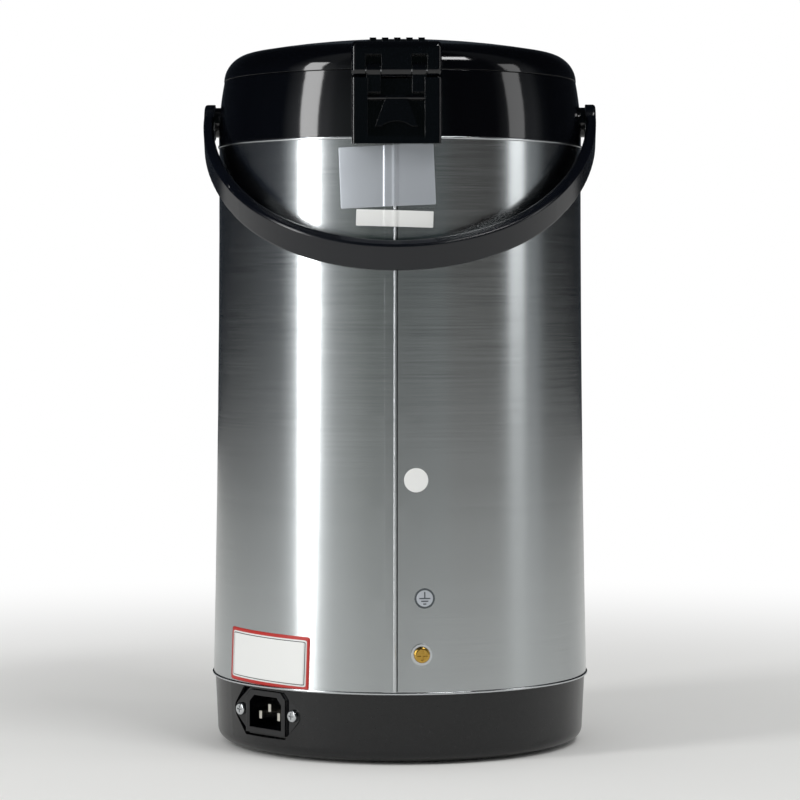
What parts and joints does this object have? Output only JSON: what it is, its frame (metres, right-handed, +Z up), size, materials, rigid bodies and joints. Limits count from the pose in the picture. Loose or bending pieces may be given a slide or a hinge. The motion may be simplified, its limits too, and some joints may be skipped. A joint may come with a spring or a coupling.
{
  "type": "electric thermo pot",
  "caption": "Tall pump-top electric hot water pot with a steel sleeve, hinged lid, bail handle, turntable base and rear mains inlet.",
  "frame": {"origin": "on the pot's axis, on the surface that the feet stand on", "axes": "+Z up, -Y towards the spout, +Y towards the lid hinge and the mains inlet's side"},
  "size_m": [0.2092, 0.2632, 0.373],
  "materials": {
    "steel_sleeve": "brushed round the body",
    "base_plastic": "satin moulded",
    "gloss_black": "high gloss moulded",
    "handle_plastic": "semi-gloss moulded",
    "cover_plastic": "fine grained moulded",
    "turntable_plastic": "satin moulded",
    "foot_rubber": "matt",
    "screw_steel": "zinc plated",
    "earth_brass": "yellow passivated",
    "pin_metal": "nickel plated",
    "liner_steel": "deep drawn, satin",
    "heater_aluminium": "cast",
    "clamp_steel": "zinc plated",
    "mica_band": "mica in steel",
    "phenolic": "moulded",
    "terminal_plastic": "moulded",
    "board": "laminate",
    "silicone": "translucent silicone",
    "clear_tube": "clear",
    "float_red": "moulded",
    "window_clear": "clear",
    "lamp_red": "tinted lens",
    "lamp_amber": "tinted lens",
    "button_grey": "moulded",
    "spring_steel": "bright wire",
    "lid_inner_plastic": "natural polypropylene"
  },
  "bodies": {
    "pot": {"outer_shell": "steel_sleeve", "base_ring": "base_plastic", "bottom_cover": "cover_plastic", "cover_screws": "screw_steel", "retainer_screw": "screw_steel", "turntable_retainer": "turntable_plastic", "inlet_socket": "gloss_black", "inlet_pins": "pin_metal", "inlet_screws": "screw_steel", "earth_washer": "screw_steel", "earth_screw": "earth_brass", "inner_liner": "liner_steel", "boil_heater": "heater_aluminium", "heater_clamp": "clamp_steel", "clamp_bolt": "screw_steel", "warm_heater": "mica_band", "band_bolt": "screw_steel", "thermostat": "phenolic", "thermal_cutout": "phenolic", "terminal_block": "terminal_plastic", "control_board": "board", "lower_elbow": "silicone", "riser_tube": "clear_tube", "upper_elbow": "silicone", "spout_nozzle": "gloss_black", "spout_cover": "gloss_black", "spout_hood": "gloss_black", "latch_catch": "gloss_black", "collar": "gloss_black", "hinge_pin": "screw_steel", "handle_pivots": "screw_steel", "gauge_bezel": "gloss_black", "gauge_window": "window_clear", "lamp_panel": "gloss_black", "boil_lamp": "lamp_red", "warm_lamp": "lamp_amber"},
    "turntable": {"turntable": "turntable_plastic", "rubber_feet": "foot_rubber"},
    "handle": {"handle": "handle_plastic"},
    "float": {"gauge_float": "float_red"},
    "release": {"lid_release": "gloss_black"},
    "button": {"reboil_button": "button_grey"},
    "lid": {"lid_outer": "gloss_black", "lid_inner": "lid_inner_plastic", "lid_plate": "liner_steel", "lid_gasket": "silicone", "lid_screws": "screw_steel", "steam_vent": "gloss_black", "latch_pin": "screw_steel", "bellows": "silicone", "pump_spring": "spring_steel", "air_valve": "silicone"},
    "latch": {"lid_latch": "gloss_black"},
    "lock": {"pump_lock": "button_grey"},
    "pump": {"pump_plate": "gloss_black", "pump_boss": "gloss_black"}
  },
  "joints": [
    {"name": "lid_hinge", "type": "hinge", "parent": "pot", "child": "lid", "pos_m": [0, 0.1005, 0.35], "axis": [-1, 0, 0], "range_deg": [0, 90]},
    {"name": "handle_swing", "type": "hinge", "parent": "pot", "child": "handle", "pos_m": [0, 0, 0.33], "axis": [1, 0, 0], "range_deg": [0, 140]},
    {"name": "pump_press", "type": "slide", "parent": "lid", "child": "pump", "axis": [0, 0, -1], "range_m": [0, 0.025], "stiffness_N_per_m": 420, "springref_m": -0.01, "deforming": ["bellows", "pump_spring"]},
    {"name": "pump_lock_slide", "type": "slide", "parent": "lid", "child": "lock", "axis": [1, 0, 0], "range_m": [0, 0.008]},
    {"name": "latch_press", "type": "hinge", "parent": "lid", "child": "latch", "pos_m": [0, -0.078, 0.361], "axis": [1, 0, 0], "range_deg": [0, 7], "stiffness_Nm_per_rad": 0.3, "springref_deg": -5.73},
    {"name": "release_pull", "type": "hinge", "parent": "pot", "child": "release", "pos_m": [0, 0.1004, 0.336], "axis": [1, 0, 0], "range_deg": [0, 8], "stiffness_Nm_per_rad": 0.05, "springref_deg": -2.86},
    {"name": "turntable_spin", "type": "hinge", "parent": "pot", "child": "turntable", "pos_m": [0, 0, 0], "axis": [0, 0, 1], "continuous": true},
    {"name": "float_rise", "type": "slide", "parent": "pot", "child": "float", "axis": [0, 0, 1], "range_m": [0, 0.14]},
    {"name": "reboil_press", "type": "slide", "parent": "pot", "child": "button", "axis": [0, 1, 0], "range_m": [0, 0.002], "stiffness_N_per_m": 300, "springref_m": -0.002}
  ]
}
